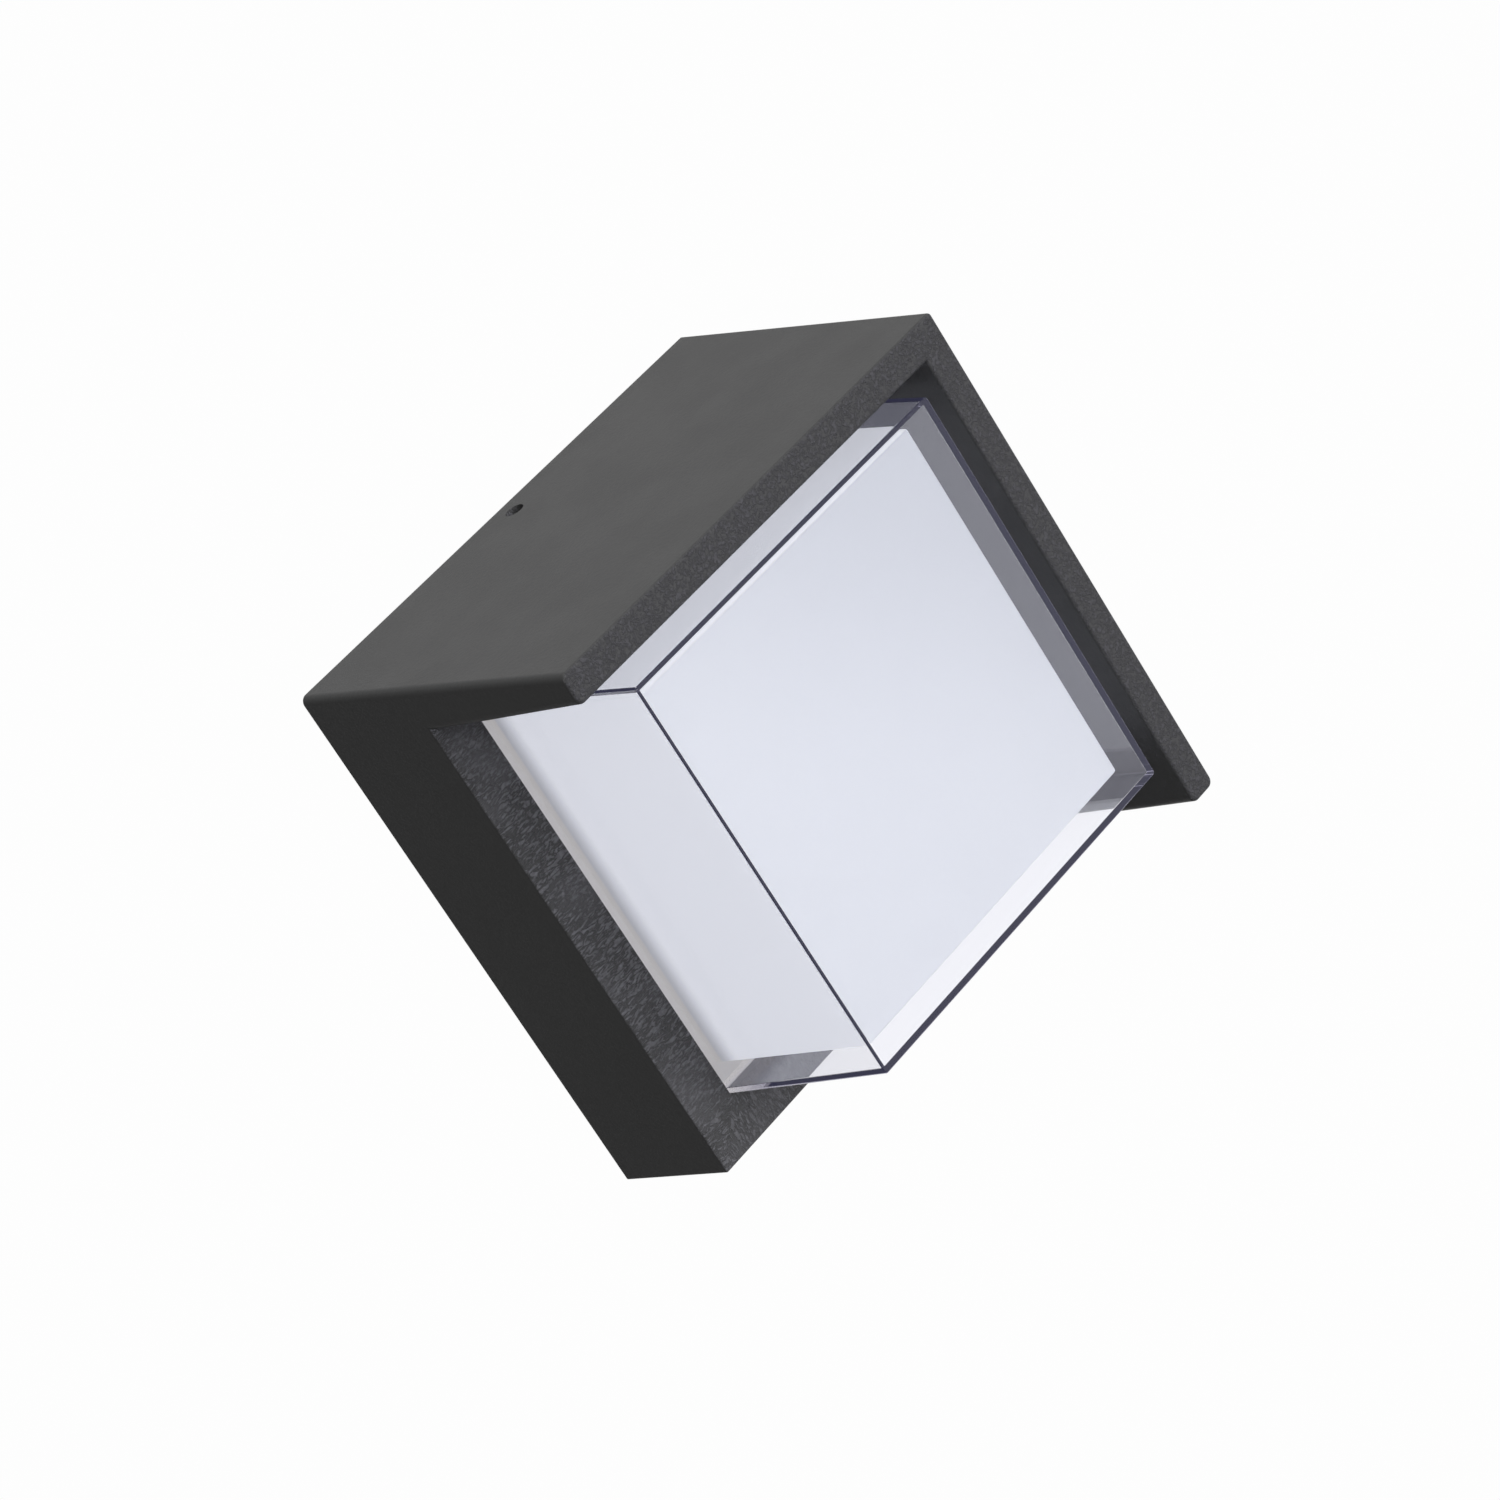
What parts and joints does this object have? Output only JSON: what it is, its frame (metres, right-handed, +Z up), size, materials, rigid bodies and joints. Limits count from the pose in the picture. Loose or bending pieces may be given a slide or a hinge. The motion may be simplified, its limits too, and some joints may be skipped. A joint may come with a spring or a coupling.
{
  "type": "outdoor wall lantern",
  "caption": "Square outdoor LED wall lantern hung on its corner: cast base with a deep hood over the upper sides, clear cover, opal block and wall bracket.",
  "frame": {"origin": "centre of the cable entry in the wall bracket, on the wall's plane", "axes": "+Z up, +Y into the wall, the lamp's front faces -Y, +X to the right as seen from the front"},
  "size_m": [0.2104, 0.0961, 0.2115],
  "materials": {
    "powder_coat": "textured matt dark grey powder coat on die-cast aluminium",
    "clear_plastic": "clear polished polycarbonate",
    "opal_plastic": "white opal polycarbonate",
    "zinc_steel": "zinc plated",
    "stainless": "bright stainless steel",
    "black_rubber": "matt black",
    "grey_foam": "closed-cell foam",
    "silicone": "translucent silicone",
    "bare_aluminium": "mill finish sheet",
    "board_white": "white solder mask",
    "white_film": "white diffuse film",
    "led_yellow": "phosphor under clear resin",
    "white_plastic": "moulded",
    "black_plastic": "moulded",
    "board_green": "green solder mask",
    "ferrite": "wound core with yellow tape",
    "capacitor_sleeve": "shrink sleeve",
    "brass": "plain",
    "brown_pvc": "wire insulation",
    "blue_pvc": "wire insulation",
    "green_yellow_pvc": "wire insulation",
    "red_pvc": "wire insulation",
    "black_pvc": "wire insulation"
  },
  "bodies": {
    "bracket": {"wall_bracket": "zinc_steel", "cable_grommet": "black_rubber"},
    "lamp": {"housing": "powder_coat", "clear_cover": "clear_plastic", "opal_diffuser": "opal_plastic", "wall_gasket": "grey_foam", "cover_gasket": "silicone", "chassis_plate": "bare_aluminium", "chassis_screws": "stainless", "led_board": "board_white", "led_chips": "led_yellow", "reflector_sheet": "white_film", "led_board_screws": "stainless", "led_connector": "white_plastic", "wire_grommet": "black_rubber", "led_lead_red": "red_pvc", "led_lead_black": "black_pvc", "driver_case": "black_plastic", "driver_lid": "black_plastic", "driver_board": "board_green", "driver_transformer": "ferrite", "driver_capacitors": "capacitor_sleeve", "driver_screws": "stainless", "terminal_block": "white_plastic", "terminal_screws": "brass", "terminal_block_screws": "stainless", "live_wire": "brown_pvc", "neutral_wire": "blue_pvc", "earth_wire": "green_yellow_pvc", "earth_ring": "brass", "earth_screw": "stainless"},
    "upper_screw": {"grub_screw_upper": "stainless"},
    "lower_screw": {"grub_screw_lower": "stainless"}
  },
  "joints": [
    {"name": "lamp_lift_off", "type": "slide", "parent": "bracket", "child": "lamp", "axis": [0, -1, 0], "range_m": [0, 0.03]},
    {"name": "upper_screw_out", "type": "slide", "parent": "lamp", "child": "upper_screw", "axis": [-0.7071, 0, 0.7071], "range_m": [0, 0.003]},
    {"name": "lower_screw_out", "type": "slide", "parent": "lamp", "child": "lower_screw", "axis": [0.7071, 0, -0.7071], "range_m": [0, 0.003]}
  ]
}
